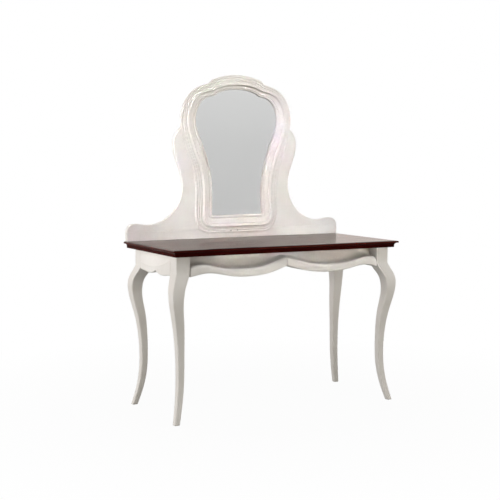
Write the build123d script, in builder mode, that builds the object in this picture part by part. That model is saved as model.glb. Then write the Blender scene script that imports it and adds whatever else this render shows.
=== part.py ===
from build123d import *
import os

os.makedirs("parts", exist_ok=True)

# A dressing table at one twelfth of full size, in millimetres. X runs across the front, +Y to the back
# and +Z up. The origin is on the floor, below the middle of the table top.

# ------------------------------------------------------------------ driving sizes: the table
table_width = 97.6
table_depth = 47.2
table_height = 64.0
top_thickness = 2.6
lip_thickness = 0.8
edge_step = 1.3
cove_radius = 1.1
lip_round = 0.3

# Legs: square posts that turn into cabriole legs.
overhang_side = 2.7
overhang_front = 3.7
overhang_back = 5.1
post_size = 5.4
post_length = 6.4
leg_dowel_radius = 0.8
leg_dowel_depth = 2.0
top_dowel_depth = 1.0

# Share of the curved height, how far the leg stands out from its post, and the side of its section.
leg_stations = [
    (1.00, 0.00, post_size),
    (0.955, 1.10, 5.3),
    (0.91, 2.10, 5.0),
    (0.86, 2.45, 4.7),
    (0.80, 2.20, 4.3),
    (0.67, 0.75, 3.7),
    (0.54, -0.35, 3.15),
    (0.40, -0.85, 2.8),
    (0.25, -0.70, 2.65),
    (0.10, 0.45, 2.4),
    (0.00, 1.70, 2.2),
]

# Aprons and their tenons.
apron_thickness = 1.6
apron_depth = 7.4
side_lobe = 0.6
side_notch = 0.7
# From the notch to a post: a share of the side apron's length, and a share of the lobe's depth.
side_curve = [(0.08, 0.2), (0.25, 1.0), (0.42, 0.2), (0.50, 0.0)]
tenon_thickness = 0.8
tenon_length = 1.5
tenon_height = 4.4
glue_gap = 0.05

# Frame under the drawers.
drawer_height = 4.8
rail_thickness = 0.8
rail_width = 3.0
runner_width = 2.7
guide_height = 2.4
divider_thickness = 1.0
centre_runner_width = 6.0
block_leg = 3.6
block_height = 2.6
screw_inset = 1.1
screw_radius = 0.4
screw_head_radius = 0.75
screw_head_height = 0.35
screw_bite = 1.4
stop_size = 1.0
stop_width = 4.0
stop_height = 2.0

# ------------------------------------------------------------------ driving sizes: the drawers
slide_gap = 0.15
floor_gap = 0.1
top_gap = 0.2
front_gap = 0.2
centre_gap = 0.2
front_recess = 5.0
panel_thickness = 1.4
box_wall = 0.9
box_floor = 0.45
brad_radius = 0.2
brad_length = 1.6
brad_gap = 0.03
brad_inset = 4.0

# The swag on each drawer front. Each point is a share of the front's width, from the middle of the
# table outwards, and a drop below the table top's underside.
swag_lower = [(0.0, 5.3), (0.15, 7.1), (0.28, 8.0), (0.45, 8.35), (0.60, 7.9), (0.73, 6.9),
              (0.84, 6.35), (0.92, 6.7), (1.0, 7.6)]
swag_upper = [(0.0, 1.6), (0.15, 3.5), (0.26, 4.7), (0.45, 5.35), (0.65, 4.95), (0.77, 4.0),
              (0.87, 3.15), (0.93, 3.2)]
swag_end = [(0.93, 3.2), (0.985, 4.2), (1.0, 5.6)]
# A share of the front's width, and how far the swag stands proud of the posts there.
swag_bow = [(0.0, 0.0), (0.10, 0.75), (0.25, 1.6), (0.45, 2.0), (0.70, 1.9), (0.88, 1.85),
            (0.96, 1.3), (1.0, 0.4)]

# ------------------------------------------------------------------ driving sizes: the backboard
board_width = 96.4
board_thickness = 2.0
plinth_height = 3.7
frame_base_lap = 1.6
frame_depth = 1.0
bead_depth = 0.85
bead_from_outside = 1.6
bead_width = 1.8
backing_inset = 0.6
glass_thickness = 0.5
glass_margin = 1.0
crest_joint = 48.0
base_joint = 12.0
# Places of the dowels as shares of half the width of the board.
board_dowel_shares = (-0.85, -0.3, 0.3, 0.85)
board_dowel_radius = 0.5
board_dowel_depth = 1.5
pin_radius = 0.2
pin_depth = 0.8
# Places of the brads and pins: from the middle of the mirror, and above the frame's bottom edge.
frame_brad_places = ((15.3, 10.5), (16.0, 24.5), (21.7, 41.5), (16.0, 56.5))
frame_pin_places = ((-3.0, 0.9), (0.0, 0.9))

# ------------------------------------------------------------------ places worked out from the sizes
underside = table_height - top_thickness
curve_height = underside - post_length
front_edge = -table_depth / 2
back_edge = table_depth / 2
post_outer = table_width / 2 - overhang_side
post_inner = post_outer - post_size
post_front = front_edge + overhang_front
post_back = back_edge - overhang_back
front_post_rear = post_front + post_size
back_post_fore = post_back - post_size
apron_inner = post_outer - apron_thickness
back_apron_fore = post_back - apron_thickness
tenon_middle = underside - apron_depth / 2

panel_fore = post_front + front_recess
panel_rear = panel_fore + panel_thickness
front_outer = post_inner - front_gap
front_inner = centre_gap / 2
front_width = front_outer - front_inner
box_outer = front_outer - slide_gap
box_inner = divider_thickness / 2 + slide_gap
box_top = underside - top_gap
rail_fore = panel_rear + front_gap
rail_rear = rail_fore + rail_width
rail_top = underside - drawer_height
rail_bottom = rail_top - rail_thickness
floor_bottom = rail_top + floor_gap
floor_top = floor_bottom + box_floor
guide_inner = box_outer + slide_gap
box_rear = back_apron_fore - stop_size - slide_gap

board_rear = back_edge
board_fore = board_rear - board_thickness
plinth_top = table_height + plinth_height
frame_bottom = plinth_top - frame_base_lap


def finish(part, name):
    """Label a finished piece and write it to its own file."""
    part.label = name
    export_step(part, f"parts/{name}.step")


def block(low, high):
    """A plain block between two corners, not joined to anything yet."""
    size = [b - a for a, b in zip(low, high)]
    middle = [(a + b) / 2 for a, b in zip(low, high)]
    return Pos(*middle) * Box(*size, mode=Mode.PRIVATE)


# ------------------------------------------------------------------ table top
leg_centres = [
    (side * (post_outer - post_size / 2), y)
    for side in (-1, 1)
    for y in (post_front + post_size / 2, post_back - post_size / 2)
]
board_dowels = [share * board_width / 2 for share in board_dowel_shares]
block_corners = [
    (side, end, y)
    for side in (-1, 1)
    for end, y in ((1, front_post_rear), (-1, back_post_fore))
]
block_bottom = underside - block_height
screws = [(side * (apron_inner - screw_inset), y + end * screw_inset) for side, end, y in block_corners]

# Edges are picked out to within this distance.
pick = 0.01
lip_bottom = table_height - lip_thickness

with BuildPart() as table_top:
    with BuildSketch(Plane.XY.offset(underside)):
        with Locations((0, edge_step / 2)):
            Rectangle(table_width - 2 * edge_step, table_depth - edge_step)
    extrude(amount=top_thickness)
    with BuildSketch(Plane.XY.offset(lip_bottom)):
        Rectangle(table_width, table_depth)
    extrude(amount=lip_thickness)
    lip_edges = table_top.edges().filter_by_position(
        Axis.Z, lip_bottom - pick, lip_bottom + pick
    )
    fillet(
        lip_edges.filter_by(
            lambda e: abs(e.center().X) < table_width / 2 - edge_step / 2
            and abs(e.center().Y) < table_depth / 2 - edge_step / 2
        ),
        radius=cove_radius,
    )
    fillet(
        table_top.faces().sort_by(Axis.Z)[-1].edges().filter_by(lambda e: e.center().Y < back_edge - pick),
        radius=lip_round,
    )
    with Locations([(x, y, underside) for x, y in leg_centres]):
        Cylinder(leg_dowel_radius + glue_gap, 2 * top_dowel_depth, mode=Mode.SUBTRACT)
    with Locations([(x, y, underside) for x, y in screws]):
        Cylinder(screw_radius + glue_gap, 2 * screw_bite, mode=Mode.SUBTRACT)
    with Locations([(x, board_fore + board_thickness / 2, table_height) for x in board_dowels]):
        Cylinder(board_dowel_radius + glue_gap, 2 * board_dowel_depth, mode=Mode.SUBTRACT)
finish(table_top.part, "table_top")


# ------------------------------------------------------------------ legs
def leg_outline(outer, outward):
    """Outline of a leg in a vertical plane. outer is the post's outer face, and outward is +1 or -1."""
    outer_edge = [(outer + outward * lean, share * curve_height) for share, lean, section in leg_stations]
    inner_edge = [
        (outer + outward * (lean - section), share * curve_height) for share, lean, section in leg_stations
    ]
    with BuildLine() as outline:
        Spline(*outer_edge)
        Spline(*inner_edge)
        Line(outer_edge[-1], inner_edge[-1])
        Polyline(outer_edge[0], (outer, underside), (outer - outward * post_size, underside), inner_edge[0])
    return outline.edges()


tenon_centre_x = apron_inner + apron_thickness / 2
tenon_centre_y = back_apron_fore + apron_thickness / 2
socket_thickness = tenon_thickness + 2 * glue_gap
socket_height = tenon_height + 2 * glue_gap
socket_length = tenon_length + glue_gap

for side_name, side in (("left", -1), ("right", 1)):
    for end_name, end, face_y, joint_y in (
        ("front", -1, post_front, front_post_rear),
        ("back", 1, post_back, back_post_fore),
    ):
        with BuildPart() as leg:
            with BuildSketch(Plane.XZ):
                make_face(leg_outline(side * post_outer, side))
            extrude(amount=table_depth, both=True)
            with BuildSketch(Plane.YZ):
                make_face(leg_outline(face_y, end))
            extrude(amount=table_width, both=True, mode=Mode.INTERSECT)
            with Locations((side * (post_outer - post_size / 2), face_y - end * post_size / 2, underside)):
                Cylinder(leg_dowel_radius + glue_gap, 2 * leg_dowel_depth, mode=Mode.SUBTRACT)
            with Locations((side * tenon_centre_x, joint_y + end * socket_length / 2, tenon_middle)):
                Box(socket_thickness, socket_length, socket_height, mode=Mode.SUBTRACT)
            if end_name == "back":
                with Locations((side * (post_inner + socket_length / 2), tenon_centre_y, tenon_middle)):
                    Box(socket_length, socket_thickness, socket_height, mode=Mode.SUBTRACT)
        finish(leg.part, f"leg_{end_name}_{side_name}")

with BuildPart() as leg_dowels:
    with Locations([(x, y, underside - leg_dowel_depth) for x, y in leg_centres]):
        Cylinder(
            leg_dowel_radius,
            leg_dowel_depth + top_dowel_depth - glue_gap,
            align=(Align.CENTER, Align.CENTER, Align.MIN),
        )
finish(leg_dowels.part, "leg_dowels")

# ------------------------------------------------------------------ aprons
side_length = back_post_fore - front_post_rear
side_middle = (back_post_fore + front_post_rear) / 2
side_low = underside - apron_depth

for side_name, side in (("left", -1), ("right", 1)):
    with BuildPart() as side_apron:
        with BuildSketch(Plane.YZ.offset(min(side * post_outer, side * apron_inner))):
            with BuildLine():
                for half in (-1, 1):
                    Spline(
                        (side_middle, side_low + side_notch),
                        *[
                            (side_middle + half * side_length * share, side_low - side_lobe * drop)
                            for share, drop in side_curve
                        ],
                    )
                Polyline(
                    (side_middle - side_length / 2, side_low),
                    (side_middle - side_length / 2, underside),
                    (side_middle + side_length / 2, underside),
                    (side_middle + side_length / 2, side_low),
                )
            make_face()
        extrude(amount=apron_thickness)
        with Locations((side * tenon_centre_x, side_middle, tenon_middle)):
            Box(tenon_thickness, side_length + 2 * tenon_length, tenon_height)
    finish(side_apron.part, f"side_apron_{side_name}")

with BuildPart() as back_apron:
    add(block((-post_inner, back_apron_fore, side_low), (post_inner, post_back, underside)))
    with Locations((0, tenon_centre_y, tenon_middle)):
        Box(2 * (post_inner + tenon_length), tenon_thickness, tenon_height)
finish(back_apron.part, "back_apron")

# ------------------------------------------------------------------ frame that carries the drawers
with BuildPart() as front_rail:
    add(block((-apron_inner, rail_fore, rail_bottom), (apron_inner, rail_rear, rail_top)))
finish(front_rail.part, "front_rail")

with BuildPart() as runner_centre:
    add(
        block(
            (-centre_runner_width / 2, rail_rear, rail_bottom),
            (centre_runner_width / 2, back_apron_fore, rail_top),
        )
    )
finish(runner_centre.part, "runner_centre")

with BuildPart() as drawer_divider:
    add(
        block(
            (-divider_thickness / 2, rail_fore, rail_top),
            (divider_thickness / 2, back_apron_fore, underside),
        )
    )
finish(drawer_divider.part, "drawer_divider")

for side_name, side in (("left", -1), ("right", 1)):
    with BuildPart() as runner:
        near, far = sorted((side * (guide_inner - runner_width), side * guide_inner))
        add(block((near, rail_rear, rail_bottom), (far, back_apron_fore, rail_top)))
    finish(runner.part, f"runner_{side_name}")

    with BuildPart() as guide:
        near, far = sorted((side * guide_inner, side * apron_inner))
        add(block((near, rail_rear, rail_bottom), (far, back_post_fore, rail_bottom + guide_height)))
    finish(guide.part, f"drawer_guide_{side_name}")

with BuildPart() as corner_blocks:
    with BuildSketch(Plane.XY.offset(block_bottom)):
        for side, end, y in block_corners:
            with BuildLine():
                Polyline(
                    (side * apron_inner, y),
                    (side * (apron_inner - block_leg), y),
                    (side * apron_inner, y + end * block_leg),
                    close=True,
                )
            make_face()
    extrude(amount=block_height)
    with Locations([(x, y, block_bottom) for x, y in screws]):
        Cylinder(screw_radius + glue_gap, 4 * block_height, mode=Mode.SUBTRACT)
finish(corner_blocks.part, "corner_blocks")

with BuildPart() as block_screws:
    with Locations([(x, y, block_bottom) for x, y in screws]):
        Cylinder(
            screw_radius,
            block_height + screw_bite - glue_gap,
            align=(Align.CENTER, Align.CENTER, Align.MIN),
        )
        Cylinder(
            screw_head_radius,
            screw_head_height,
            align=(Align.CENTER, Align.CENTER, Align.MAX),
        )
finish(block_screws.part, "block_screws")

stop_middle = box_inner + (box_outer - box_inner) / 2
with BuildPart() as drawer_stops:
    for side in (-1, 1):
        near, far = sorted((side * (stop_middle - stop_width / 2), side * (stop_middle + stop_width / 2)))
        add(
            block(
                (near, back_apron_fore - stop_size, floor_top),
                (far, back_apron_fore, floor_top + stop_height),
            )
        )
finish(drawer_stops.part, "drawer_stops")


# ------------------------------------------------------------------ drawers
def across(side, share):
    """Where a share of a drawer front's width lies, from the middle of the table outwards."""
    return side * (front_inner + share * front_width)


def swag_points(side, points):
    """Points of the swag in the plane of the drawer front."""
    return [(across(side, share), underside - drop) for share, drop in points]


def brad_places(side):
    """Centres of the four brads that hold a drawer's bottom to its sides."""
    return [
        (side * x, y)
        for x in (box_inner + box_wall / 2, box_outer - box_wall / 2)
        for y in (panel_rear + brad_inset, box_rear - brad_inset)
    ]


for side_name, side in (("left", -1), ("right", 1)):
    drawer = f"drawer_{side_name}"
    brads = brad_places(side)

    with BuildPart() as front:
        # The swag is cut to its outline from the front, then bowed along its length.
        with BuildSketch(Plane.XZ.offset(-panel_rear)):
            with BuildLine():
                Spline(*swag_points(side, swag_lower))
                Spline(*swag_points(side, swag_upper))
                Spline(*swag_points(side, swag_end))
                Line(
                    swag_points(side, swag_lower)[0],
                    swag_points(side, swag_upper)[0],
                )
                Line(
                    swag_points(side, swag_lower)[-1],
                    swag_points(side, swag_end)[-1],
                )
            make_face()
        extrude(amount=table_depth)
        with BuildSketch(Plane.XY.offset(underside - 2 * apron_depth)):
            with BuildLine():
                Spline(*[(across(side, share), post_front - bow) for share, bow in swag_bow])
                Polyline(
                    (across(side, 0), post_front - swag_bow[0][1]),
                    (across(side, 0), panel_rear),
                    (across(side, 1), panel_rear),
                    (across(side, 1), post_front - swag_bow[-1][1]),
                )
            make_face()
        extrude(amount=2 * apron_depth, mode=Mode.INTERSECT)
        # The thin panel fills the front above the swag, up to the table top.
        with BuildSketch(Plane.XZ.offset(-panel_rear)):
            with BuildLine():
                Spline(*swag_points(side, swag_lower))
                Polyline(
                    swag_points(side, swag_lower)[0],
                    (across(side, 0), box_top),
                    (across(side, 1), box_top),
                    swag_points(side, swag_lower)[-1],
                )
            make_face()
        extrude(amount=panel_thickness)
    finish(front.part, f"{drawer}_front")

    for wall_name, near_x in (("inner", box_inner), ("outer", box_outer - box_wall)):
        with BuildPart() as wall:
            near, far = sorted((side * near_x, side * (near_x + box_wall)))
            add(block((near, panel_rear, floor_top), (far, box_rear, box_top)))
            with Locations([(x, y, floor_top) for x, y in brads if near < x < far]):
                Cylinder(brad_radius + brad_gap, 2 * brad_length, mode=Mode.SUBTRACT)
        finish(wall.part, f"{drawer}_side_{wall_name}")

    with BuildPart() as back:
        near, far = sorted((side * (box_inner + box_wall), side * (box_outer - box_wall)))
        add(block((near, box_rear - box_wall, floor_top), (far, box_rear, box_top)))
    finish(back.part, f"{drawer}_back")

    with BuildPart() as bottom:
        near, far = sorted((side * box_inner, side * box_outer))
        add(block((near, panel_rear, floor_bottom), (far, box_rear, floor_top)))
        with Locations([(x, y, floor_bottom) for x, y in brads]):
            Cylinder(brad_radius + brad_gap, 2 * brad_length, mode=Mode.SUBTRACT)
    finish(bottom.part, f"{drawer}_bottom")

    with BuildPart() as brad_group:
        with Locations([(x, y, floor_bottom) for x, y in brads]):
            Cylinder(
                brad_radius,
                box_floor + brad_length,
                align=(Align.CENTER, Align.CENTER, Align.MIN),
            )
    finish(brad_group.part, f"{drawer}_brads")


# ------------------------------------------------------------------ backboard
# Heights above the frame's bottom edge.
frame_spans = [
    ("straight", [(0, 0), (13.2, 0)]),
    ("curve", [(13.2, 0), (16.8, 1.6), (18.6, 5.0), (18.95, 9.5), (18.65, 15.5), (19.1, 22.0),
               (20.6, 28.2), (22.9, 34.0), (24.3, 40.0), (25.0, 46.4), (24.0, 51.0), (21.6, 55.4),
               (17.9, 58.2), (13.0, 59.85)]),
    ("curve", [(13.0, 59.85), (12.2, 60.3), (11.3, 61.35)]),
    ("curve", [(11.3, 61.35), (6.0, 63.0), (0, 63.6)]),
]
glass_spans = [
    ("straight", [(0, 7.1), (10.9, 7.1)]),
    ("curve", [(10.9, 7.1), (11.5, 7.7)]),
    ("curve", [(11.5, 7.7), (11.35, 16.0), (11.7, 22.5), (13.2, 29.0), (15.5, 35.5), (17.8, 41.0),
               (18.6, 45.6), (17.5, 50.4), (14.6, 53.8), (10.4, 55.1)]),
    ("curve", [(10.4, 55.1), (9.6, 55.5), (8.8, 56.2)]),
    ("curve", [(8.8, 56.2), (4.6, 57.4), (0, 57.8)]),
]
frame_height = frame_spans[-1][1][-1][1]
wing_curve = [(0.0, 0.0), (-1.1, 2.3), (-3.8, 3.05), (-8.2, 2.55), (-14.2, 3.4), (-19.5, 6.8),
              (-22.8, 11.7), (-24.05, 17.5), (-22.9, 23.8), (-20.7, 30.3), (-20.25, 33.8),
              (-21.3, 38.1), (-23.8, 40.9)]


def mirror_face(spans, grow=0.0):
    """A face of the mirror, the same on both sides of x = 0, with its outline moved outwards by grow."""
    run = spans[0][1] + [point for kind, points in spans[1:] for point in points[1:]]
    moved = {}
    for i, (x, z) in enumerate(run):
        before = run[i - 1] if i > 0 else (-run[1][0], run[1][1])
        after = run[i + 1] if i < len(run) - 1 else (-run[-2][0], run[-2][1])
        along = Vector(after[0] - before[0], after[1] - before[1]).normalized()
        moved[(x, z)] = (x + grow * along.Y, frame_bottom + z - grow * along.X)
    with BuildSketch() as shape:
        with BuildLine():
            for flip in (-1, 1):
                for kind, points in spans:
                    placed = [(flip * moved[point][0], moved[point][1]) for point in points]
                    if kind == "curve":
                        Spline(*placed)
                    else:
                        Polyline(*placed)
        make_face()
    return shape.sketch


frame_face = mirror_face(frame_spans)
glass_hole = mirror_face(glass_spans)
glass_face = mirror_face(glass_spans, glass_margin)
bead_face = mirror_face(frame_spans, -bead_from_outside)
bead_hole = mirror_face(frame_spans, -bead_from_outside - bead_width)

with BuildSketch() as backing_shape:
    add(mirror_face(frame_spans, -backing_inset))
    with Locations((0, plinth_top)):
        Rectangle(
            table_width,
            2 * frame_height,
            align=(Align.CENTER, Align.MIN),
            mode=Mode.INTERSECT,
        )

# Brads that hold the frame to the backing, clear of the glass, above the frame's bottom edge.
frame_brads = [(side * x, frame_bottom + z) for side in (-1, 1) for x, z in frame_brad_places]

with BuildPart() as mirror_plinth:
    add(block((-board_width / 2, board_fore, table_height), (board_width / 2, board_rear, plinth_top)))
    with Locations([(x, board_fore + board_thickness / 2, table_height) for x in board_dowels]):
        Cylinder(board_dowel_radius + glue_gap, 2 * board_dowel_depth, mode=Mode.SUBTRACT)
finish(mirror_plinth.part, "mirror_plinth")

with BuildPart() as plinth_dowels:
    with Locations(
        [(x, board_fore + board_thickness / 2, table_height - board_dowel_depth) for x in board_dowels]
    ):
        Cylinder(
            board_dowel_radius,
            2 * board_dowel_depth - glue_gap,
            align=(Align.CENTER, Align.CENTER, Align.MIN),
        )
finish(plinth_dowels.part, "plinth_dowels")

for side_name, side in (("left", -1), ("right", 1)):
    with BuildPart() as wing:
        with BuildSketch(Plane.XZ.offset(-board_rear)):
            with BuildLine():
                tip = [(side * (board_width / 2 + x), plinth_top + z) for x, z in wing_curve]
                Spline(*tip)
                Polyline(tip[-1], (side, tip[-1][1]), (side, plinth_top), tip[0])
            make_face()
            add(backing_shape.sketch, mode=Mode.SUBTRACT)
        extrude(amount=board_thickness)
    finish(wing.part, f"mirror_wing_{side_name}")

with BuildPart() as mirror_backing:
    with BuildSketch(Plane.XZ.offset(-board_rear)):
        add(backing_shape.sketch)
    extrude(amount=board_thickness)
    with BuildSketch(Plane.XZ.offset(-board_fore)):
        add(glass_face)
    extrude(amount=-glass_thickness, mode=Mode.SUBTRACT)
    with BuildSketch(Plane.XZ.offset(-board_rear)):
        with Locations(frame_brads):
            Circle(brad_radius + brad_gap)
    extrude(amount=board_thickness, mode=Mode.SUBTRACT)
finish(mirror_backing.part, "mirror_backing")

with BuildPart() as mirror_glass:
    with BuildSketch(Plane.XZ.offset(-board_fore)):
        add(glass_face)
    extrude(amount=-glass_thickness)
finish(mirror_glass.part, "mirror_glass")

# The frame is four lengths of moulding, butted together.
wide = 2 * table_width
frame_pieces = {
    "crest": (crest_joint, 2 * frame_height, 0, wide),
    "left": (base_joint, crest_joint, -wide / 2, wide),
    "right": (base_joint, crest_joint, wide / 2, wide),
    "base": (-frame_height, base_joint, 0, wide),
}
frame_pins = [(x, frame_bottom + z) for x, z in frame_pin_places]

for piece_name, (low, high, middle, width) in frame_pieces.items():
    with BuildPart() as piece:
        for outline, hole, start, depth in (
            (frame_face, glass_hole, board_fore, frame_depth),
            (bead_face, bead_hole, board_fore - frame_depth, bead_depth),
        ):
            with BuildSketch(Plane.XZ.offset(-start)):
                add(outline)
                add(hole, mode=Mode.SUBTRACT)
                with Locations((middle, frame_bottom + (low + high) / 2)):
                    Rectangle(width, high - low, mode=Mode.INTERSECT)
            extrude(amount=depth)
        with BuildSketch(Plane.XZ.offset(-board_fore)):
            with Locations(frame_brads):
                Circle(brad_radius + brad_gap)
        extrude(amount=pin_depth, mode=Mode.SUBTRACT)
        if piece_name == "base":
            with BuildSketch(Plane.XZ.offset(-(board_fore - frame_depth))):
                with Locations(frame_pins):
                    Circle(pin_radius + brad_gap)
            extrude(amount=-pin_depth, mode=Mode.SUBTRACT)
    finish(piece.part, f"mirror_frame_{piece_name}")

with BuildPart() as mirror_frame_brads:
    with BuildSketch(Plane.XZ.offset(-board_rear)):
        with Locations(frame_brads):
            Circle(brad_radius)
    extrude(amount=board_thickness + pin_depth)
finish(mirror_frame_brads.part, "mirror_frame_brads")

with BuildPart() as mirror_frame_pins:
    with BuildSketch(Plane.XZ.offset(-(board_fore - frame_depth + pin_depth))):
        with Locations(frame_pins):
            Circle(pin_radius)
    extrude(amount=pin_depth)
finish(mirror_frame_pins.part, "mirror_frame_pins")
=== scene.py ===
import math

import bmesh
import bpy
import numpy as np
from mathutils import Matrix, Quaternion, Vector


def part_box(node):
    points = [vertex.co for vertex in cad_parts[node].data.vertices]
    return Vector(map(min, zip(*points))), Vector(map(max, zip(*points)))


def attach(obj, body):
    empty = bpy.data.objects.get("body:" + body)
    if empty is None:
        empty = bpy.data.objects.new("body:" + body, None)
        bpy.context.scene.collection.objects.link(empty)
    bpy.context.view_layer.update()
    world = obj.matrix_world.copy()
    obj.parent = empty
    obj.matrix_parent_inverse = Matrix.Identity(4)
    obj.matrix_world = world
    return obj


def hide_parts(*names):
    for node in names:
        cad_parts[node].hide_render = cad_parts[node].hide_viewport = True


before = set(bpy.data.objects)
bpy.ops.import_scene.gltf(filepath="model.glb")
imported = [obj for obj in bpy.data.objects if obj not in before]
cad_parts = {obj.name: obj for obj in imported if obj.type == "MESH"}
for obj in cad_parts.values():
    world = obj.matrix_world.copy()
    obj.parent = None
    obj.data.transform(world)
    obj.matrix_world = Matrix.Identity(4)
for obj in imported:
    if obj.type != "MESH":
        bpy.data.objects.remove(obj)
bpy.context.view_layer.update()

# Lengths of pieces are in millimetres, in the frame of the CAD model, until a mesh is made.
# Materials, the floor, the lights and the camera are in metres.
MM = 0.001
WELD_METRES = 0.000002
BEVEL_ANGLE = 40
FLAT_FACE_WEIGHT = 80


def corners(node):
    """Lowest and highest corner of a CAD node, in millimetres."""
    low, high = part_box(node)
    return np.array(low) / MM, np.array(high) / MM


# ------------------------------------------------------------------ places read from the CAD model
(_, front_edge, underside), (right_edge, back_edge, table_height) = corners("table_top")
apron_low, apron_high = corners("side_apron_right")
(_, board_fore, _), (board_half, board_rear, plinth_top) = corners("mirror_plinth")
(_, _, frame_bottom), (_, _, frame_base_top) = corners("mirror_frame_base")
(_, _, crest_bottom), _ = corners("mirror_frame_crest")
(front_inner, _, _), (front_outer, panel_rear, panel_top) = corners("drawer_right_front")

POST = 5.4
TENON = 1.5
APRON = 1.6
CURVE_HEIGHT = 55.0
post_outer = apron_high[0]
apron_inner = post_outer - APRON
front_post_rear = apron_low[1] + TENON
back_post_fore = apron_high[1] - TENON
post_front = front_post_rear - POST
post_back = back_post_fore + POST


# ------------------------------------------------------------------ curves and meshes
def smooth(points, count):
    """Evenly spaced points on a smooth curve through the given ones."""
    p = np.array(points, float)
    t = np.concatenate(([0.0], np.cumsum(np.linalg.norm(np.diff(p, axis=0), axis=1))))
    n = len(t)
    h = np.diff(t)
    lhs = np.zeros((n, n))
    rhs = np.zeros((n, p.shape[1]))
    lhs[0, 0] = lhs[-1, -1] = 1.0
    for i in range(1, n - 1):
        lhs[i, i - 1 : i + 2] = h[i - 1], 2 * (h[i - 1] + h[i]), h[i]
        rhs[i] = 6 * ((p[i + 1] - p[i]) / h[i] - (p[i] - p[i - 1]) / h[i - 1])
    bend = np.linalg.solve(lhs, rhs)
    s = np.linspace(0, t[-1], count)
    i = np.clip(np.searchsorted(t, s, side="right") - 1, 0, n - 2)
    a = ((t[i + 1] - s) / h[i])[:, None]
    b = 1 - a
    width = (h[i] ** 2)[:, None]
    return a * p[i] + b * p[i + 1] + ((a**3 - a) * bend[i] + (b**3 - b) * bend[i + 1]) * width / 6


def along(points, places, length=1.0):
    """Height of a smooth curve at the given places along it. Its places are shares of the length."""
    fine = smooth(np.array(points) * (length, 1.0), 600) / (length, 1.0)
    order = np.argsort(fine[:, 0], kind="stable")
    return np.interp(places, fine[order, 0], fine[order, 1])


def arc(centre, radius, start, stop, count):
    """Points on an arc, angles in degrees."""
    turn = np.radians(np.linspace(start, stop, count))
    return np.column_stack((centre[0] + radius * np.cos(turn), centre[1] + radius * np.sin(turn)))


def skin(rows, ring=False):
    """A closed surface through rows of points, each row a closed loop."""
    bm = bmesh.new()
    verts = [[bm.verts.new(Vector(p) * MM) for p in row] for row in np.asarray(rows, float)]
    count = len(verts[0])
    pairs = list(zip(verts, verts[1:]))
    if ring:
        pairs.append((verts[-1], verts[0]))
    for a, b in pairs:
        for j in range(count):
            k = (j + 1) % count
            bm.faces.new((a[j], a[k], b[k], b[j]))
    if not ring:
        bm.faces.new(verts[0])
        bm.faces.new(verts[-1][::-1])
    bmesh.ops.recalc_face_normals(bm, faces=bm.faces)
    return bm


def piece(name, bm, material, slot, body, *nodes, angle=38):
    """Make an object from a bmesh, and let it stand for CAD nodes on a body."""
    mesh = bpy.data.meshes.new(name)
    bm.to_mesh(mesh)
    bm.free()
    mesh.shade_smooth()
    mesh.set_sharp_from_angle(angle=math.radians(angle))
    mesh.materials.append(material)
    obj = bpy.data.objects.new(name, mesh)
    bpy.context.scene.collection.objects.link(obj)
    weights = obj.modifiers.new("flat_faces", "WEIGHTED_NORMAL")
    weights.keep_sharp = True
    weights.weight = FLAT_FACE_WEIGHT
    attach(obj, body)
    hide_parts(*nodes)


def refine(node, material, width):
    """Give a CAD node its material and arrises rounded to a width."""
    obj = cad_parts[node]
    for place in obj.material_slots:
        place.material = material
    if not obj.material_slots:
        obj.data.materials.append(material)
    weld = obj.modifiers.new("weld", "WELD")
    weld.merge_threshold = WELD_METRES
    bevel = obj.modifiers.new("arris", "BEVEL")
    bevel.width = width * MM
    bevel.segments = 3
    bevel.limit_method = "ANGLE"
    bevel.angle_limit = math.radians(BEVEL_ANGLE)
    bevel.use_clamp_overlap = True
    weights = obj.modifiers.new("flat_faces", "WEIGHTED_NORMAL")
    weights.weight = FLAT_FACE_WEIGHT


# ------------------------------------------------------------------ materials
def node_tools(owner):
    """Helpers that add a linked node to a material or a world, and that add a colour ramp."""
    tree = owner.node_tree

    def add(kind, links=(), **values):
        node = tree.nodes.new(kind)
        for key, value in values.items():
            if hasattr(node, key):
                setattr(node, key, value)
            else:
                node.inputs[key.replace("_", " ")].default_value = value
        for key, source in links:
            tree.links.new(source, node.inputs[key])
        return node

    def ramp(source, *stops):
        """The colour of a ramp from position and colour pairs."""
        node = add("ShaderNodeValToRGB", [("Fac", source)])
        points = node.color_ramp.elements
        while len(points) < len(stops):
            points.new(0.5)
        for point, (place, colour) in zip(points, stops):
            point.position = place
            point.color = (*colour, 1.0)
        return node.outputs["Color"]

    return add, ramp


def new_material(name):
    """A material with only its Principled shader, and helpers that add nodes and link to the shader."""
    material = bpy.data.materials.new(name)
    material.use_nodes = True
    shader = next(n for n in material.node_tree.nodes if n.type == "BSDF_PRINCIPLED")
    add, ramp = node_tools(material)

    def link(source, socket):
        material.node_tree.links.new(source, shader.inputs[socket])

    return material, shader, add, ramp, link


def grey(value):
    return (value, value, value)


# Places of a Mix node's colour sockets among all its sockets.
MIX_SHARE, MIX_FIRST, MIX_SECOND, MIX_RESULT = 0, 6, 7, 2


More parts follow.
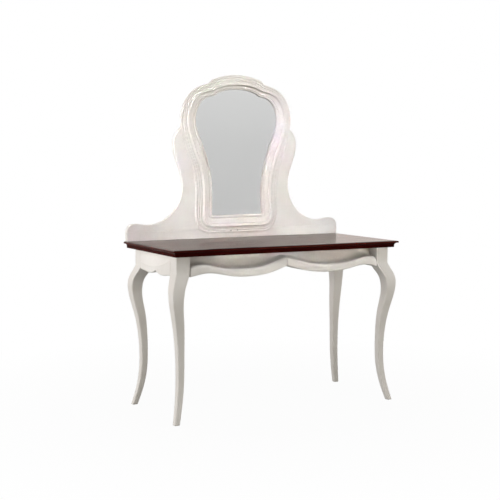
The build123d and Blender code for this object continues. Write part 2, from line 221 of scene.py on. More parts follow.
def lacquer():
    """Hand-rubbed white paint over carved wood: faint brush lines, pores, warm worn arrises."""
    material, shader, add, ramp, link = new_material("white_lacquer")
    place = add("ShaderNodeTexCoord").outputs["Object"]
    cloud = add("ShaderNodeTexNoise", [("Vector", place)], Scale=95.0, Detail=5.0, Roughness=0.55)
    base = ramp(cloud.outputs["Fac"], (0.32, (0.795, 0.768, 0.735)), (0.66, (0.845, 0.824, 0.798)))
    strokes = add("ShaderNodeMapping", [("Vector", place)], Scale=(1.0, 1.0, 0.16))
    brush = add("ShaderNodeTexNoise", [("Vector", strokes.outputs["Vector"])], Scale=2600.0, Detail=4.0)
    edges = add("ShaderNodeNewGeometry").outputs["Pointiness"]
    worn = ramp(edges, (0.54, grey(0.0)), (0.64, grey(0.18)))
    patch = add("ShaderNodeTexNoise", [("Vector", place)], Scale=420.0, Detail=3.0)
    patchy = ramp(patch.outputs["Fac"], (0.46, grey(0.0)), (0.62, grey(1.0)))
    amount = add("ShaderNodeMath", [(0, worn), (1, patchy)], operation="MULTIPLY")
    tint = add("ShaderNodeMix", [(MIX_SHARE, amount.outputs["Value"]), (MIX_FIRST, base)], data_type="RGBA")
    tint.inputs[MIX_SECOND].default_value = (0.66, 0.60, 0.52, 1.0)
    link(tint.outputs[MIX_RESULT], "Base Color")
    gloss = ramp(brush.outputs["Fac"], (0.3, grey(0.30)), (0.7, grey(0.42)))
    link(gloss, "Roughness")
    bump = add("ShaderNodeBump", [("Height", brush.outputs["Fac"])], Strength=0.10, Distance=0.00002)
    link(bump.outputs["Normal"], "Normal")
    shader.inputs["Specular IOR Level"].default_value = 0.4
    return material


def mahogany():
    """Dark red polished hardwood: straight grain along the top, fine pores, deep clear polish."""
    material, shader, add, ramp, link = new_material("mahogany")
    place = add("ShaderNodeTexCoord").outputs["Object"]
    stretched = add("ShaderNodeMapping", [("Vector", place)], Scale=(0.09, 1.0, 1.0))
    grain = add(
        "ShaderNodeTexNoise",
        [("Vector", stretched.outputs["Vector"])],
        Scale=900.0,
        Detail=6.0,
        Roughness=0.6,
        Distortion=0.4,
    )
    figure = add(
        "ShaderNodeTexWave",
        [("Vector", stretched.outputs["Vector"])],
        bands_direction="Y",
        Scale=40.0,
        Distortion=5.0,
        Detail=3.0,
    )
    both = add(
        "ShaderNodeMath",
        [(0, grain.outputs["Fac"]), (1, figure.outputs["Fac"])],
        operation="MULTIPLY",
    )
    base = ramp(
        both.outputs["Value"],
        (0.10, (0.028, 0.0010, 0.0007)),
        (0.35, (0.037, 0.0022, 0.0012)),
        (0.65, (0.070, 0.0070, 0.0036)),
    )
    edges = add("ShaderNodeNewGeometry").outputs["Pointiness"]
    worn = ramp(edges, (0.53, grey(0.0)), (0.62, grey(0.5)))
    tint = add("ShaderNodeMix", [(MIX_SHARE, worn), (MIX_FIRST, base)], data_type="RGBA")
    tint.inputs[MIX_SECOND].default_value = (0.10, 0.018, 0.010, 1.0)
    link(tint.outputs[MIX_RESULT], "Base Color")
    polish = ramp(grain.outputs["Fac"], (0.3, grey(0.10)), (0.7, grey(0.17)))
    link(polish, "Roughness")
    bump = add("ShaderNodeBump", [("Height", grain.outputs["Fac"])], Strength=0.05, Distance=0.00001)
    link(bump.outputs["Normal"], "Normal")
    shader.inputs["IOR"].default_value = 1.2
    shader.inputs["Specular Tint"].default_value = (1.0, 0.35, 0.28, 1.0)
    return material


def bare_wood():
    """Unfinished close-grained wood for the parts under the top."""
    material, shader, add, ramp, link = new_material("bare_wood")
    place = add("ShaderNodeTexCoord").outputs["Object"]
    stretched = add("ShaderNodeMapping", [("Vector", place)], Scale=(0.12, 0.5, 1.0))
    grain = add(
        "ShaderNodeTexNoise",
        [("Vector", stretched.outputs["Vector"])],
        Scale=1300.0,
        Detail=6.0,
        Roughness=0.62,
        Distortion=0.3,
    )
    base = ramp(
        grain.outputs["Fac"],
        (0.30, (0.36, 0.235, 0.135)),
        (0.52, (0.55, 0.39, 0.245)),
        (0.72, (0.66, 0.50, 0.335)),
    )
    link(base, "Base Color")
    dull = ramp(grain.outputs["Fac"], (0.3, grey(0.72)), (0.7, grey(0.58)))
    link(dull, "Roughness")
    bump = add("ShaderNodeBump", [("Height", grain.outputs["Fac"])], Strength=0.25, Distance=0.00003)
    link(bump.outputs["Normal"], "Normal")
    return material


def silvered():
    """Silvered glass, with the faintest haze."""
    material, shader, add, ramp, link = new_material("mirror_glass")
    place = add("ShaderNodeTexCoord").outputs["Object"]
    haze = add("ShaderNodeTexNoise", [("Vector", place)], Scale=60.0, Detail=4.0)
    tone = ramp(haze.outputs["Fac"], (0.3, (0.862, 0.868, 0.862)), (0.7, (0.880, 0.884, 0.878)))
    link(tone, "Base Color")
    soft = ramp(haze.outputs["Fac"], (0.3, grey(0.012)), (0.7, grey(0.028)))
    link(soft, "Roughness")
    shader.inputs["Metallic"].default_value = 1.0
    return material


def steel():
    """Drawn steel of the brads, pins and screws."""
    material, shader, add, ramp, link = new_material("steel")
    place = add("ShaderNodeTexCoord").outputs["Object"]
    marks = add("ShaderNodeTexNoise", [("Vector", place)], Scale=3500.0, Detail=5.0)
    tone = ramp(marks.outputs["Fac"], (0.3, (0.20, 0.19, 0.175)), (0.7, (0.36, 0.345, 0.32)))
    link(tone, "Base Color")
    rough = ramp(marks.outputs["Fac"], (0.3, grey(0.28)), (0.7, grey(0.5)))
    link(rough, "Roughness")
    bump = add("ShaderNodeBump", [("Height", marks.outputs["Fac"])], Strength=0.15, Distance=0.00001)
    link(bump.outputs["Normal"], "Normal")
    shader.inputs["Metallic"].default_value = 0.9
    return material


white = lacquer()
wood = mahogany()
plain_wood = bare_wood()
mirror = silvered()
metal = steel()


# ------------------------------------------------------------------ table top
STEP = 1.3
COVE = 1.1
LIP = 0.8
EASE = 1.6
EASE_DROP = 0.3
TOP_CORNER = 0.25
BACK_STRIP = 0.2
FIELD_INSET = 4.5


def top_loop(inset, height):
    """The outline of the top at one height, drawn in on the front and the sides, square at the back."""
    x = right_edge - inset
    y = front_edge + inset
    turn = TOP_CORNER
    points = [(-x, back_edge), (-x, back_edge - BACK_STRIP)]
    points += [(-x, y + share * (back_edge - y)) for share in (0.7, 0.4, 0.1)]
    points += list(arc((-x + turn, y + turn), turn, 180, 270, 5))
    points += [(share * x, y) for share in (-0.8, -0.4, 0.0, 0.4, 0.8)]
    points += list(arc((x - turn, y + turn), turn, 270, 360, 5))
    points += [(x, y + share * (back_edge - y)) for share in (0.1, 0.4, 0.7)]
    points += [(x, back_edge - BACK_STRIP), (x, back_edge)]
    return [(px, py, height) for px, py in points]


# Inset and height from the underside upwards: a step, a cove, a lip and an elliptical upper arris.
lip_bottom = table_height - LIP
edge_profile = [(STEP + 0.2, underside), (STEP + 0.06, underside + 0.02), (STEP, underside + 0.12)]
edge_profile += [(STEP, underside + 0.5), (STEP, lip_bottom - COVE - 0.02)]
edge_profile += [tuple(p) for p in arc((STEP - COVE, lip_bottom - COVE), COVE, 0, 90, 9)]
edge_profile += [(0.06, lip_bottom), (0.0, lip_bottom + 0.06), (0.0, lip_bottom + 0.25)]
for level, rise in arc((0, 0), 1, 0, 90, 11):
    edge_profile.append((EASE * (1 - level), table_height - EASE_DROP * (1 - rise)))
edge_profile += [(EASE + 0.6, table_height), (FIELD_INSET, table_height)]
piece(
    "polished_top",
    skin([top_loop(inset, height) for inset, height in edge_profile]),
    wood,
    "mahogany",
    "carcass",
    "table_top",
)

# ------------------------------------------------------------------ legs
LEG_ARRIS = 0.34
KNEE_ARRIS = 0.22
KNEE_ARRIS_FADE = 8.0
BEAD_WIDTH = 0.85
QUIRK_DEPTH = 0.16
QUIRK_START = 46.0
QUIRK_FADE = 6.0
# Height as a share of the curved part, lean outwards, and width of the square section.
leg_stations = np.array(
    [
        (0.00, 1.70, 2.2),
        (0.10, 0.45, 2.4),
        (0.25, -0.70, 2.65),
        (0.40, -0.85, 2.8),
        (0.54, -0.35, 3.15),
        (0.67, 0.75, 3.7),
        (0.80, 2.20, 4.3),
        (0.86, 2.45, 4.7),
        (0.91, 2.10, 5.0),
        (0.955, 1.10, 5.3),
        (1.00, 0.00, POST),
    ]
)
heights = leg_stations[:, 0] * CURVE_HEIGHT
outer_line = np.column_stack((heights, leg_stations[:, 1]))
inner_line = np.column_stack((heights, leg_stations[:, 1] - leg_stations[:, 2]))


def leg_section(side, end, height, inset, quirk):
    """A loop round one leg. quirk is the depth of the groove that sets off the bead on the inner arris."""
    if height < CURVE_HEIGHT:
        lean = float(along(outer_line, [height])[0])
        inner = float(along(inner_line, [height])[0])
    else:
        lean, inner = 0.0, -POST
    low, high = inset, lean - inner - inset
    soft = LEG_ARRIS + KNEE_ARRIS * min(1.0, max(0.0, (CURVE_HEIGHT - height) / KNEE_ARRIS_FADE))
    points = list(arc((low + soft, low + soft), soft, 180, 270, 6))
    bead = high - BEAD_WIDTH
    for share in (0.35, 0.75):
        points.append((low + soft + share * (bead - low - soft), low))
    points += [(bead - 0.10, low), (bead, low + quirk), (bead + 0.12, low + 0.5 * quirk)]
    points += list(arc((high - soft, low + soft), soft, 270, 360, 6))
    points += [(high, (low + high) / 2)]
    points += list(arc((high - soft, high - soft), soft, 0, 90, 6))
    points += [((low + high) / 2, high)]
    points += list(arc((low + soft, high - soft), soft, 90, 180, 6))
    points += [(low, low + share * (high - low)) for share in (0.66, 0.33)]
    face = post_back if end > 0 else -post_front
    return [(side * (post_outer + lean - p), end * (face + lean - q), height) for p, q in points]


# Height and inset of each loop. Only the sole is drawn in.
leg_heights = [(0.0, 0.16), (0.05, 0.06), (0.16, 0.0)]
leg_heights += [(h, 0.0) for h in np.linspace(0.7, CURVE_HEIGHT, 84)]
leg_heights += [(h, 0.0) for h in np.linspace(CURVE_HEIGHT, underside, 8)[1:]]
for side_name, side in (("left", -1), ("right", 1)):
    for end_name, end in (("front", -1), ("back", 1)):
        loops = []
        for height, inset in leg_heights:
            fade = min(1.0, max(0.0, (height - QUIRK_START) / QUIRK_FADE))
            quirk = QUIRK_DEPTH * fade if end < 0 else 0.0
            loops.append(leg_section(side, end, height, inset, quirk))
        piece(
            f"cabriole_{end_name}_{side_name}",
            skin(loops),
            white,
            "white_lacquer",
            "carcass",
            f"leg_{end_name}_{side_name}",
            angle=50,
        )

# ------------------------------------------------------------------ side aprons
LOBE_DROP = 0.6
LINE_RELIEF = 0.07
LEAF_RELIEF = 0.10
SCROLL_RELIEF = 0.05
RELIEF_FADE = 1.5
INNER_ARRIS = 0.25
OUTER_ARRIS = 0.35
side_length = back_post_fore - front_post_rear
side_middle = (back_post_fore + front_post_rear) / 2
side_low = apron_low[2] + LOBE_DROP
# From the middle to a post: a share of the apron's length, and height above side_low.
half_edge = [(0.0, 0.7), (0.08, -0.12), (0.25, -0.60), (0.42, -0.12), (0.50, 0.0)]


def relief(y, z):
    """Height of the carved scroll at one place of the side apron."""
    u = (y - side_middle) / side_length
    v = (z - side_low) / (underside - side_low)
    path = 0.80 - 1.55 * (u + 0.5) + 1.15 * (u + 0.5) ** 2
    line = LINE_RELIEF * math.exp(-(((v - path) / 0.045) ** 2))
    leaf = LEAF_RELIEF * math.exp(-((u / 0.055) ** 2) - (((v - 0.24) / 0.13) ** 2))
    curl = math.hypot((u + 0.02) * 1.9, v - 0.52)
    scroll = SCROLL_RELIEF * math.exp(-(((curl - 0.16) / 0.035) ** 2))
    return line + leaf + scroll


for side_name, side in (("left", -1), ("right", 1)):
    loops = []
    for y in np.linspace(front_post_rear, back_post_fore, 150):
        share = abs(y - side_middle) / side_length
        low = side_low + float(along(half_edge, [share], side_length)[0])
        ease = min(1.0, (y - front_post_rear) / RELIEF_FADE, (back_post_fore - y) / RELIEF_FADE)
        points = list(arc((apron_inner + INNER_ARRIS, low + INNER_ARRIS), INNER_ARRIS, 180, 270, 4))
        points += list(arc((post_outer - OUTER_ARRIS, low + OUTER_ARRIS), OUTER_ARRIS, 270, 360, 6))
        for z in np.linspace(low + 0.5, underside - 0.3, 60):
            points.append((post_outer + max(0.0, ease) * relief(y, z), z))
        points += [(post_outer, underside), (apron_inner, underside)]
        loops.append([(side * px, y, pz) for px, pz in points])
    piece(
        f"carved_apron_{side_name}",
        skin(loops),
        white,
        "white_lacquer",
        "carcass",
        f"side_apron_{side_name}",
        angle=50,
    )

# ------------------------------------------------------------------ drawer fronts
PANEL = 1.4
ROLL = 1.2
ROLL_SHARE = 0.36
TOE = 0.40
TOE_SHARE = 0.18
SWELL = 0.05
COVE_SHARE = 0.86
panel_fore = panel_rear - PANEL
front_width = front_outer - front_inner
# Along a drawer front from its inner end: a share of its length, and a drop below the top's underside.
swag_lower = [(0.0, 5.3), (0.15, 7.1), (0.28, 8.0), (0.45, 8.35), (0.60, 7.9), (0.73, 6.9)]
swag_lower += [(0.84, 6.35), (0.92, 6.7), (1.0, 7.6)]
swag_upper = [(0.0, 1.6), (0.15, 3.5), (0.26, 4.7), (0.45, 5.35), (0.65, 4.95), (0.77, 4.0)]
swag_upper += [(0.87, 3.15), (0.93, 3.2)]
swag_end = [(0.93, 3.2), (0.985, 4.2), (1.0, 5.6)]
# The same places, and how far the swag stands in front of the posts.
swag_bow = [(0.0, 0.0), (0.10, 0.75), (0.25, 1.6), (0.45, 2.0), (0.70, 1.9), (0.88, 1.85)]
swag_bow += [(0.96, 1.3), (1.0, 0.4)]


def swag_section(share):
    """A loop through a drawer front: thin panel, hollow, rolled swag, lower edge, back."""
    crest = swag_upper if share < swag_end[0][0] else swag_end
    upper = underside - float(along(crest, [share], front_width)[0])
    lower = underside - float(along(swag_lower, [share], front_width)[0])
    nose = post_front - float(along(swag_bow, [share], front_width)[0])
    depth = upper - lower
    roll = min(ROLL, ROLL_SHARE * depth)
    toe = min(TOE, TOE_SHARE * depth)
    hollow = COVE_SHARE * (panel_top - upper) * min(1.0, 0.08 + 2.2 * share)
    points = [(panel_fore + 0.12, panel_top), (panel_fore, panel_top - 0.12)]
    for z in np.linspace(panel_top - 0.2, upper + hollow, 4):
        points.append((panel_fore, z))
    shelf = nose + roll
    for t in np.linspace(0.03, 0.97, 18):
        points.append((panel_fore + t**1.2 * (shelf - panel_fore), upper + hollow * (1 - t) ** 4))
    points += [tuple(p) for p in arc((nose + roll, upper - roll), roll, 90, 180, 10)]
    for t in np.linspace(0.15, 0.85, 5):
        z = upper - roll - t * (depth - roll - toe)
        points.append((nose - SWELL * math.sin(math.pi * t), z))
    points += [tuple(p) for p in arc((nose + toe, lower + toe), toe, 180, 270, 7)]
    points += [(nose + toe + t * (panel_rear - nose - toe), lower) for t in (0.3, 0.6, 0.9)]
    points += [(panel_rear, lower), (panel_rear, (lower + panel_top) / 2), (panel_rear, panel_top)]
    return points


shares = np.unique(np.concatenate((np.linspace(0, 1, 120), np.linspace(0.9, 1.0, 40), [0.004, 0.996])))
for side_name, side in (("left", -1), ("right", 1)):
    loops = []
    for share in shares:
        x = side * (front_inner + share * front_width)
        loops.append([(x, py, pz) for py, pz in swag_section(share)])
    piece(
        f"swagged_front_{side_name}",
        skin(loops),
        white,
        "white_lacquer",
        f"drawer_{side_name}",
        f"drawer_{side_name}_front",
        angle=50,
    )

# ------------------------------------------------------------------ mirror frame
# Heights above the frame's bottom edge. Each span of the outline answers to one of the glass opening.
outline_side = [(13.2, 0), (16.8, 1.6), (18.6, 5.0), (18.95, 9.5), (18.65, 15.5), (19.1, 22.0)]
outline_side += [(20.6, 28.2), (22.9, 34.0), (24.3, 40.0), (25.0, 46.4), (24.0, 51.0), (21.6, 55.4)]
outline_side += [(17.9, 58.2), (13.0, 59.85)]
glass_side = [(11.5, 7.7), (11.35, 16.0), (11.7, 22.5), (13.2, 29.0), (15.5, 35.5), (17.8, 41.0)]
glass_side += [(18.6, 45.6), (17.5, 50.4), (14.6, 53.8), (10.4, 55.1)]
CORNER_HEIGHT = 9.5
SHOULDER_HEIGHT = 46.4
GLASS_SHOULDER_HEIGHT = 45.6
outline_notch = [(13.0, 59.85), (12.2, 60.3), (11.3, 61.35)]
glass_notch = [(10.4, 55.1), (9.6, 55.5), (8.8, 56.2)]


def cut(curve_points, low, high, count):
    """Evenly spaced points on the part of a curve between two heights."""
    fine = smooth(curve_points, 1500)
    length = np.concatenate(([0.0], np.cumsum(np.linalg.norm(np.diff(fine, axis=0), axis=1))))
    start = 0.0 if low is None else np.interp(low, fine[:, 1], length)
    stop = length[-1] if high is None else np.interp(high, fine[:, 1], length)
    s = np.linspace(start, stop, count)
    return np.column_stack((np.interp(s, length, fine[:, 0]), np.interp(s, length, fine[:, 1])))


outer_spans = [
    np.linspace((0, 0), (13.2, 0), 26),
    cut(outline_side, None, CORNER_HEIGHT, 30),
    cut(outline_side, CORNER_HEIGHT, SHOULDER_HEIGHT, 76),
    cut(outline_side, SHOULDER_HEIGHT, None, 44),
    smooth(outline_notch, 9),
    smooth([outline_notch[-1], (6.0, 63.0), (0, 63.6)], 26),
]
glass_corner = smooth([(10.9, 7.1), (11.33, 7.27), (11.5, 7.7)], 18)
glass_spans = [
    np.linspace((0, 7.1), (10.9, 7.1), 26),
    np.vstack((glass_corner[:-1], np.linspace((11.5, 7.7), (11.46, CORNER_HEIGHT), 13))),
    cut(glass_side, CORNER_HEIGHT, GLASS_SHOULDER_HEIGHT, 76),
    cut(glass_side, GLASS_SHOULDER_HEIGHT, None, 44),
    smooth(glass_notch, 9),
    smooth([glass_notch[-1], (4.6, 57.4), (0, 57.8)], 26),
]
outline = np.vstack([outer_spans[0]] + [span[1:] for span in outer_spans[1:]])
opening = np.vstack([glass_spans[0]] + [span[1:] for span in glass_spans[1:]])
# How far across the moulding its main bead lies, at the ends of the spans.
bead_places = [0.62, 0.60, 0.49, 0.56, 0.46, 0.36, 0.32]
ends = np.cumsum([0] + [len(span) - 1 for span in outer_spans])
bead_share = np.interp(np.arange(len(outline)), ends, bead_places)

# The moulding from the glass outwards: share of its width, and height in front of the board.
moulding = [(0.0, 0.0), (0.0, 0.66), (0.015, 0.82), (0.045, 0.91), (0.08, 0.89), (0.10, 0.78)]
moulding += [(0.115, 0.46), (0.135, 0.32), (0.155, 0.44), (0.17, 0.66), (0.19, 0.76), (0.23, 0.80)]
moulding += [(0.28, 0.80), (0.33, 0.82), (0.365, 0.86), (0.385, 0.86), (0.40, 0.76), (0.415, 0.56)]
moulding += [(0.435, 0.52), (0.45, 0.78), (0.463, 1.22), (0.478, 1.56), (0.496, 1.78), (0.515, 1.85)]
moulding += [(0.534, 1.81), (0.552, 1.66), (0.568, 1.38), (0.583, 1.06), (0.60, 0.86), (0.63, 0.80)]
moulding += [(0.665, 0.90), (0.69, 0.93), (0.702, 0.86), (0.712, 0.62), (0.73, 0.48), (0.75, 0.58)]
moulding += [(0.762, 0.80), (0.785, 0.87), (0.815, 0.86), (0.828, 0.76), (0.838, 0.50), (0.855, 0.38)]
moulding += [(0.872, 0.48), (0.885, 0.66), (0.91, 0.72), (0.95, 0.71), (0.975, 0.64), (0.993, 0.52)]
moulding += [(1.0, 0.40), (1.0, 0.2), (1.0, 0.0)]
moulding = np.array(moulding)
BEAD_CENTRE = 0.515


def moulding_loop(index, flip):
    """A loop through the moulding at one place of its outline."""
    share = bead_share[index]
    across = np.interp(moulding[:, 0], [0, BEAD_CENTRE, 1], [0, share, 1])
    inner, outer = opening[index], outline[index]
    points = inner + across[:, None] * (outer - inner)
    loop = [
        (flip * px, board_fore - height, frame_bottom + pz)
        for (px, pz), height in zip(points, moulding[:, 1])
    ]
    back = [outer + share * (inner - outer) for share in (0.33, 0.66)]
    return loop + [(flip * px, board_fore, frame_bottom + pz) for px, pz in back]


# The four lengths of the frame meet where the CAD model's do. The upper joint is wide of the crest.
CREST_HALF = 15
FAR = 9
low_cut = int(np.argmin(np.abs(outline[:150, 1] - (frame_base_top - frame_bottom))))
above_joint = np.abs(outline[:, 1] - (crest_bottom - frame_bottom))
high_cut = int(np.argmin(above_joint + FAR * (outline[:, 0] < CREST_HALF)))
last = len(outline) - 1
right_way = [(i, 1) for i in range(last + 1)]
left_way = [(i, -1) for i in range(last + 1)]
runs = {
    "base": left_way[low_cut:0:-1] + right_way[: low_cut + 1],
    "right": right_way[low_cut : high_cut + 1],
    "crest": right_way[high_cut:] + left_way[last - 1 : high_cut - 1 : -1],
    "left": left_way[low_cut : high_cut + 1],
}
for run_name, run in runs.items():
    piece(
        f"moulding_{run_name}",
        skin([moulding_loop(index, flip) for index, flip in run]),
        white,
        "white_lacquer",
        "carcass",
        f"mirror_frame_{run_name}",
        angle=60,
    )

# ------------------------------------------------------------------ wings of the backboard
# From the plinth's upper corner: how far across, and how far up.
wing_curve = [(0.0, 0.0), (-1.1, 2.3), (-3.8, 3.05), (-8.2, 2.55), (-14.2, 3.4), (-19.5, 6.8)]
wing_curve += [(-22.8, 11.7), (-24.05, 17.5), (-22.9, 23.8), (-20.7, 30.3), (-20.25, 33.8)]
wing_curve += [(-21.3, 38.1), (-23.8, 40.9)]
BACKING_INSET = 0.6
FORE_ARRIS = 0.3
REAR_ARRIS = 0.2
WING_POINTS = 170


def plate(points, weights):
    """A flat board between board_fore and board_rear, its arrises rounded by the weight at each point."""
    points = np.asarray(points, float)
    ahead = np.roll(points, -1, axis=0) - np.roll(points, 1, axis=0)
    inward = np.column_stack((-ahead[:, 1], ahead[:, 0]))
    inward /= np.linalg.norm(inward, axis=1)[:, None]
    area = np.sum(points[:, 0] * np.roll(points[:, 1], -1) - np.roll(points[:, 0], -1) * points[:, 1])
    if area < 0:
        inward = -inward
    weights = np.asarray(weights)[:, None]
    rows = []
    for turn in np.radians(np.linspace(0, 90, 6)):
        moved = points + inward * weights * FORE_ARRIS * (1 - math.sin(turn))
        rows.append([(x, board_fore + FORE_ARRIS * (1 - math.cos(turn)), z) for x, z in moved])
    for turn in np.radians(np.linspace(0, 90, 4)):
        moved = points + inward * weights * REAR_ARRIS * (1 - math.cos(turn))
        rows.append([(x, board_rear - REAR_ARRIS * (1 - math.sin(turn)), z) for x, z in moved])
    return skin(rows)


fine_outline = outline[len(outer_spans[0]) :]
tangent = np.gradient(fine_outline, axis=0)
tangent /= np.linalg.norm(tangent, axis=1)[:, None]
backing_edge = fine_outline + BACKING_INSET * np.column_stack((-tangent[:, 1], tangent[:, 0]))
wing_base = plinth_top - frame_bottom
wing_tip = plinth_top + wing_curve[-1][1] - frame_bottom
inner_edge = backing_edge[(backing_edge[:, 1] > wing_base + 0.02) & (backing_edge[:, 1] < wing_tip - 0.05)]
inner_edge = inner_edge[: int(np.argmax(inner_edge[:, 1])) + 1]
base_corner = (np.interp(wing_base, backing_edge[:40, 1], backing_edge[:40, 0]), wing_base)
for side_name, side in (("left", -1), ("right", 1)):
    outer_curve = smooth(wing_curve, WING_POINTS) + (board_half, plinth_top)
    hidden = np.vstack((inner_edge[::-1], [base_corner])) + (0, frame_bottom)
    floor_line = np.linspace(hidden[-1], outer_curve[0], 24)[1:-1]
    shape = np.vstack((outer_curve, hidden, floor_line)) * (side, 1)
    weights = [min(1.0, 0.3 + i / 10, 0.15 + (WING_POINTS - 1 - i) / 30) for i in range(WING_POINTS)]
    weights += [0.0] * len(hidden) + [0.35] * len(floor_line)
    piece(
        f"wing_{side_name}",
        plate(shape, weights),
        white,
        "white_lacquer",
        "carcass",
        f"mirror_wing_{side_name}",
        angle=50,
    )

# ------------------------------------------------------------------ plinth of the backboard
plinth_section = list(arc((board_fore + FORE_ARRIS, plinth_top - FORE_ARRIS), FORE_ARRIS, 90, 180, 6))
plinth_section += [(board_fore, plinth_top - share) for share in (0.5, 1.8, 3.2)]
plinth_section += list(arc((board_fore + 0.12, table_height + 0.12), 0.12, 180, 270, 4))
plinth_section += list(arc((board_rear - 0.15, table_height + 0.15), 0.15, 270, 360, 4))
plinth_section += list(arc((board_rear - REAR_ARRIS, plinth_top - REAR_ARRIS), REAR_ARRIS, 0, 90, 5))
middle = np.array(((board_fore + board_rear) / 2, (table_height + plinth_top) / 2))
half_size = np.array(((board_rear - board_fore) / 2, (plinth_top - table_height) / 2))
loops = []
for inset, x in ((0.2, 0.0), (0.06, 0.06), (0.0, 0.2), (0.0, 0.5)):
    shrunk = middle + (np.array(plinth_section) - middle) * (1 - inset / half_size)
    loops.append([(-board_half + x, y, z) for y, z in shrunk])
for share in np.linspace(-0.95, 0.95, 21):
    loops.append([(share * board_half, y, z) for y, z in plinth_section])
loops += [[(-x, y, z) for x, y, z in loop] for loop in loops[3::-1]]
piece("plinth", skin(loops), white, "white_lacquer", "carcass", "mirror_plinth", angle=50)

# ------------------------------------------------------------------ CAD pieces that stay
# Material, and width of the arrises.
kept = {
    "back_apron": (white, 0.2),
    "mirror_backing": (white, 0.12),
    "mirror_glass": (mirror, 0.04),
    "corner_blocks": (plain_wood, 0.15),
    "leg_dowels": (plain_wood, 0.08),
    "plinth_dowels": (plain_wood, 0.08),
    "block_screws": (metal, 0.06),
    "mirror_frame_brads": (metal, 0.03),
    "mirror_frame_pins": (metal, 0.05),
}
for node in ("front_rail", "runner_centre", "drawer_divider", "drawer_stops"):
    kept[node] = (plain_wood, 0.12)
for side_name in ("left", "right"):
    kept[f"runner_{side_name}"] = kept[f"drawer_guide_{side_name}"] = (plain_wood, 0.12)
    for part in ("side_inner", "side_outer", "back", "bottom"):
        kept[f"drawer_{side_name}_{part}"] = (plain_wood, 0.1)
    kept[f"drawer_{side_name}_brads"] = (metal, 0.03)
for node, (material, width) in kept.items():
    refine(node, material, width)

# ------------------------------------------------------------------ floor, light and camera
FLOOR_RADIUS = 0.7
FLOOR_DROP = 0.00002
FADE_NEAR = 0.05
FADE_FAR = 0.16
ROOM_GLOW = 0.09
WARM = (1.0, 0.955, 0.87)
COOL = (0.97, 0.985, 1.0)
MIDDLE = (0, 0, 0.06)

scene = bpy.context.scene
scene.view_settings.view_transform = "Standard"
scene.view_settings.look = "None"

floor_mesh = bpy.data.meshes.new("floor")
floor_bm = bmesh.new()
bmesh.ops.create_circle(floor_bm, cap_ends=True, radius=FLOOR_RADIUS, segments=96)
floor_bm.to_mesh(floor_mesh)
floor_bm.free()
floor = bpy.data.objects.new("floor", floor_mesh)
floor.location = (0, 0, -FLOOR_DROP)
scene.collection.objects.link(floor)

# The camera sees the floor fade out to white away from the table. Everything else sees a matt grey floor.
ground = bpy.data.materials.new("pale_floor")
ground.use_nodes = True
ground.node_tree.nodes.clear()
add, _ = node_tools(ground)
matte = add("ShaderNodeBsdfDiffuse", Color=(0.30, 0.30, 0.29, 1.0))
glow = add("ShaderNodeEmission")
path = add("ShaderNodeLightPath")
place = add("ShaderNodeTexCoord")
reach = add("ShaderNodeVectorMath", [(0, place.outputs["Object"])], operation="LENGTH")
fade = add(
    "ShaderNodeMapRange",
    [("Value", reach.outputs["Value"])],
    From_Min=FADE_NEAR,
    From_Max=FADE_FAR,
    To_Min=0.97,
    To_Max=1.0,
)
seen = add(
    "ShaderNodeMath",
    [(0, path.outputs["Is Camera Ray"]), (1, fade.outputs["Result"])],
    operation="MULTIPLY",
)
blend = add(
    "ShaderNodeMixShader",
    [("Fac", seen.outputs["Value"]), (1, matte.outputs["BSDF"]), (2, glow.outputs["Emission"])],
)
add("ShaderNodeOutputMaterial", [("Surface", blend.outputs["Shader"])])
floor_mesh.materials.append(ground)

world = bpy.data.worlds.new("studio")
scene.world = world
world.use_nodes = True
world.node_tree.nodes.clear()
add, ramp = node_tools(world)
path = add("ShaderNodeLightPath")
coordinates = add("ShaderNodeTexCoord")
direction = add("ShaderNodeSeparateXYZ", [("Vector", coordinates.outputs["Generated"])])


def fades(source, *stops):
    """A colour ramp over a direction's share of one axis, from place and colour pairs."""
    first, last = stops[0][0], stops[-1][0]
    share = add("ShaderNodeMapRange", [("Value", source)], From_Min=first, From_Max=last)
    return ramp(share.outputs["Result"], *[((at - first) / (last - first), colour) for at, colour in stops])


def either(share, first, second):
    """The first shader, mixed with the second by a share."""
    return add("ShaderNodeMixShader", [("Fac", share), (1, first), (2, second)]).outputs["Shader"]


# What polished faces see: before the table, a grey room that is darker above; behind it, a warm pale wall.
ahead_tone = fades(
    direction.outputs["Z"],
    (-0.30, grey(0.50)),
    (-0.08, grey(0.585)),
    (0.00, grey(0.665)),
    (0.05, grey(0.75)),
    (0.085, grey(0.26)),
    (1.00, grey(0.22)),
)
behind_tone = fades(direction.outputs["Z"], (-0.08, (0.82, 0.72, 0.67)), (0.08, (1.0, 0.91, 0.85)))
side_of_room = fades(direction.outputs["Y"], (-0.1, grey(0.0)), (0.3, grey(1.0)))
room = add("ShaderNodeBackground", [("Color", ahead_tone)])
behind = add("ShaderNodeBackground", [("Color", behind_tone)])
around = either(side_of_room, room.outputs["Background"], behind.outputs["Background"])
# What matt faces see is dim, and what the camera sees is white.
dim = add("ShaderNodeBackground", Color=(0.98, 0.99, 0.95, 1.0), Strength=ROOM_GLOW)
backdrop = add("ShaderNodeBackground", Color=(1.0, 1.0, 1.0, 1.0), Strength=1.0)
unseen = either(path.outputs["Is Glossy Ray"], dim.outputs["Background"], around)
final = either(path.outputs["Is Camera Ray"], unseen, backdrop.outputs["Background"])
add("ShaderNodeOutputWorld", [("Surface", final)])


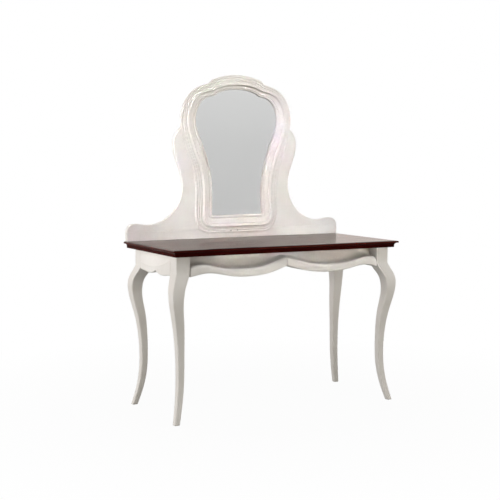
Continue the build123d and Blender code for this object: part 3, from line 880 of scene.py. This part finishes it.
def softbox(name, place, target, size, power, colour=(1.0, 1.0, 1.0), roll=0, spread=180):
    """A rectangular soft light that faces a point and doesn't show in polished faces. Angles in degrees."""
    light = bpy.data.lights.new(name, "AREA")
    light.shape = "RECTANGLE"
    light.size, light.size_y = size
    light.energy = power
    light.color = colour
    light.spread = math.radians(spread)
    obj = bpy.data.objects.new(name, light)
    obj.location = place
    aim = (Vector(target) - Vector(place)).to_track_quat("-Z", "Y")
    obj.rotation_euler = (aim @ Quaternion((0, 0, 1), math.radians(roll))).to_euler()
    obj.visible_camera = False
    obj.visible_glossy = False
    scene.collection.objects.link(obj)


softbox("left_box", (-0.46, 0.06, 0.07), MIDDLE, (0.30, 0.14), 1.30, (1.0, 0.98, 0.96))
softbox("front_box", (0.24, -0.44, 0.115), MIDDLE, (0.30, 0.10), 0.73, WARM)
softbox("fill_box", (-0.45, -0.35, 0.10), MIDDLE, (0.30, 0.20), 0.33, WARM)
softbox("upper_box", (0.02, -0.10, 0.19), (0, 0.02, 0.08), (0.18, 0.05), 0.10)
softbox("right_box", (0.50, -0.04, 0.12), MIDDLE, (0.30, 0.30), 0.50)
# Two narrow beams lift the backboard and the hollows of the drawer fronts.
softbox(
    "board_box",
    (-0.24, -0.215, 0.262),
    (0.003, 0.02, 0.0845),
    (0.086, 0.076),
    0.0120,
    COOL,
    roll=25,
    spread=4,
)
softbox("drawer_box", (0.05, -0.42, 0.105), (0.006, -0.018, 0.0595), (0.072, 0.018), 0.0009, WARM, spread=3)
softbox("overhead_box", (0, 0.05, 0.5), MIDDLE, (0.40, 0.30), 0.55, (1.0, 0.9, 0.8))

# Film and lens in millimetres, place in metres, turns in degrees.
FILM_WIDTH = 36.0
FOCAL_LENGTH = 83.27
CAMERA_PLACE = (-0.218125, -0.397211, 0.101371)
CAMERA_DOWN = 5.164
CAMERA_ROLL = -0.043
CAMERA_TURN = -28.17
camera_data = bpy.data.cameras.new("camera")
camera_data.sensor_width = FILM_WIDTH
camera_data.lens = FOCAL_LENGTH
camera = bpy.data.objects.new("camera", camera_data)
camera.location = CAMERA_PLACE
camera.rotation_euler = tuple(math.radians(turn) for turn in (90 - CAMERA_DOWN, CAMERA_ROLL, CAMERA_TURN))
scene.collection.objects.link(camera)
scene.camera = camera
